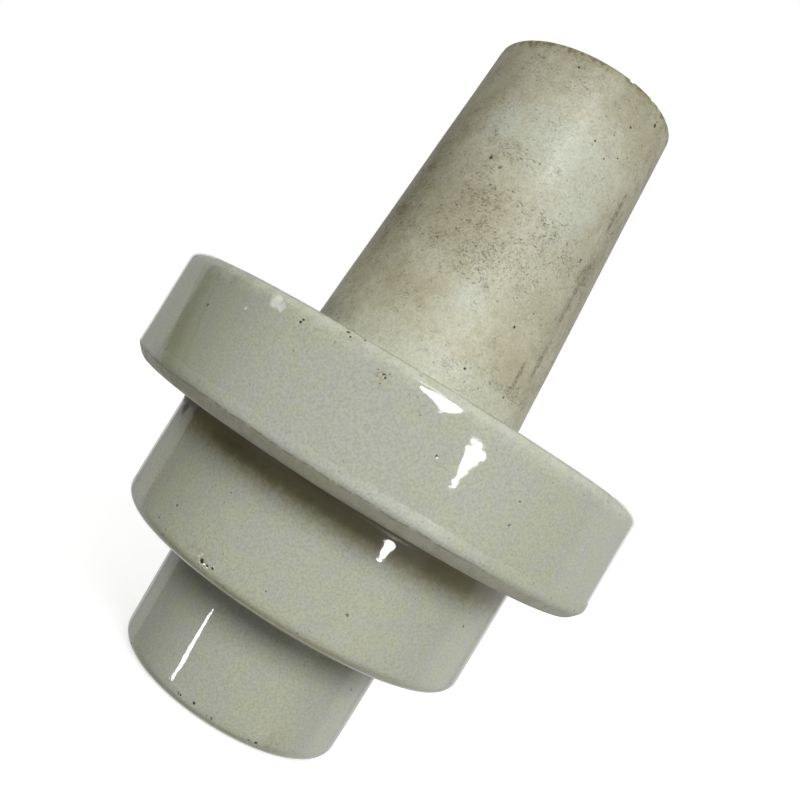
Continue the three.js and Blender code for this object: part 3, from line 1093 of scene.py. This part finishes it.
# Windows that only show in reflections: where they are seen, azimuth, elevation, distance, width,
# height and radiance.
STEM_SPOT = (1, -20, 123)
FACE_SPOT = (13, -48, 62)
RIM_SPOT = (6, -49, 68)
SHOULDER_SPOT = (10.5, -35.5, 44)
NOSE_SPOT = (-9, -21.5, 10.9)
WINDOWS = [
    (STEM_SPOT, 9, 29, 600, 160, 80, 10),
    (FACE_SPOT, 36.6, 1.1, 500, 84, 10, 30),
    (FACE_SPOT, 36.2, 0.7, 500, 64, 15, 30),
    (FACE_SPOT, 35.8, 0.1, 500, 42, 20, 30),
    (FACE_SPOT, 35.6, -0.5, 500, 22, 23, 30),
    (RIM_SPOT, 16, 14, 500, 140, 225, 16),
    (RIM_SPOT, 8, 10, 500, 90, 80, 16),
    (SHOULDER_SPOT, 36, -7.6, 230, 40, 7, 40),
    (SHOULDER_SPOT, 36, -8.8, 230, 20, 9, 40),
    (NOSE_SPOT, -48, -21.3, 400, 22, 50, 30),
    (NOSE_SPOT, -48.5, -25.6, 400, 34, 4, 30),
]
for number, (spot, azimuth, elevation, distance, width, height, radiance) in enumerate(WINDOWS):
    softbox(
        f"window_{number}", spot, azimuth, elevation, distance, (width, height), radiance,
        shape="ELLIPSE", diffuse=False,
    )

# The room's brightness by azimuth: dark in front, grey panels beside, and a pale wall behind.
ROOM = [
    (-151, 1.1),
    (-148, 0.4),
    (-118.5, 0.4),
    (-117.5, 0.02),
    (-62, 0.02),
    (-58, 0.14),
    (28, 0.12),
    (32, 0.40),
    (58, 0.40),
    (62, 0.1),
    (99, 0.16),
    (103, 0.3),
    (107, 0.55),
    (147, 0.5),
    (152, 1.1),
]
OVERHEAD = 0.3
# Low down, the room keeps a share of its brightness, less of it behind, and has some light added.
LOW_SHARE = 1.15
LOW_LIGHT = 0.18
LOW_BEHIND = 0.45
UNDER_FRONT = 0.02


def add_world():
    """White to the camera; for the rest a room, a plain ceiling, and a floor that is dark in front."""
    world = bpy.data.worlds.new("studio")
    world.use_nodes = True
    bpy.context.scene.world = world
    g = Nodes(world.node_tree)
    x, y, z = g.node("SeparateXYZ", [g.node("TexCoord").outputs["Generated"]]).outputs
    azimuth = g.math("DEGREES", g.math("ARCTAN2", x, g.math("MULTIPLY", y, -1.0)))
    room = g.node("ValToRGB", [g.math("MULTIPLY_ADD", azimuth, 1 / 360, 0.5)])
    stops = room.color_ramp.elements
    while len(stops) < len(ROOM):
        stops.new(0.5)
    for stop, (at, brightness) in zip(stops, ROOM):
        stop.position = at / 360 + 0.5
        stop.color = (brightness, brightness, brightness, 1)
    low = g.math("MULTIPLY_ADD", room.outputs[0], LOW_SHARE, LOW_LIGHT)
    low = g.times(low, g.ramp(y, 0.6, 0.9, 1, LOW_BEHIND))
    strength = g.blend(g.ramp(z, -0.22, -0.04, 1, 0), room.outputs[0], low)
    strength = g.blend(g.ramp(z, 0.22, 0.4), strength, OVERHEAD)
    below = g.times(g.ramp(z, -0.5, -0.3, 1, 0), g.ramp(y, -0.2, 0.3, 1, 0))
    strength = g.blend(below, strength, UNDER_FRONT)
    seen = g.node("LightPath").outputs["Is Camera Ray"]
    background = g.tree.nodes["Background"]
    g.put(background.inputs["Strength"], g.blend(seen, strength, 1.0))
    background.inputs["Color"].default_value = (1, 1, 1, 1)


add_world()

# ---- Floor ----


FLOOR_RADIUS = 3
FLOOR_SEGMENTS = 96
FLOOR_GREY = 0.8
# The distances between which the floor's own glow rises, and the glow at each.
GLOW_FROM, GLOW_TO = 0.1, 0.4
GLOW_NEAR, GLOW_FAR = 0.55, 1


def add_floor():
    """A plain white floor; only the camera sees it, so it throws no light back."""
    shape = bmesh.new()
    bmesh.ops.create_circle(shape, cap_ends=True, segments=FLOOR_SEGMENTS, radius=FLOOR_RADIUS)
    mesh = bpy.data.meshes.new("floor")
    shape.to_mesh(mesh)
    shape.free()
    floor = bpy.data.objects.new("floor", mesh)
    bpy.context.scene.collection.objects.link(floor)
    material = bpy.data.materials.new("white_floor")
    material.use_nodes = True
    g = Nodes(material.node_tree)
    paint = g.tree.nodes["Principled BSDF"].inputs
    paint["Base Color"].default_value = (FLOOR_GREY, FLOOR_GREY, FLOOR_GREY, 1)
    paint["Roughness"].default_value = 1
    paint["Specular IOR Level"].default_value = 0
    paint["Emission Color"].default_value = (1, 1, 1, 1)
    place = g.node("TexCoord").outputs["Object"]
    reach = g.node("VectorMath", [place], operation="LENGTH").outputs["Value"]
    glow = g.node("MapRange", [reach, GLOW_FROM, GLOW_TO, GLOW_NEAR, GLOW_FAR])
    g.put(paint["Emission Strength"], glow.outputs[0])
    mesh.materials.append(material)
    floor.visible_diffuse = False
    floor.visible_glossy = False
    floor.visible_shadow = False


add_floor()
bpy.context.scene.view_settings.view_transform = "Standard"
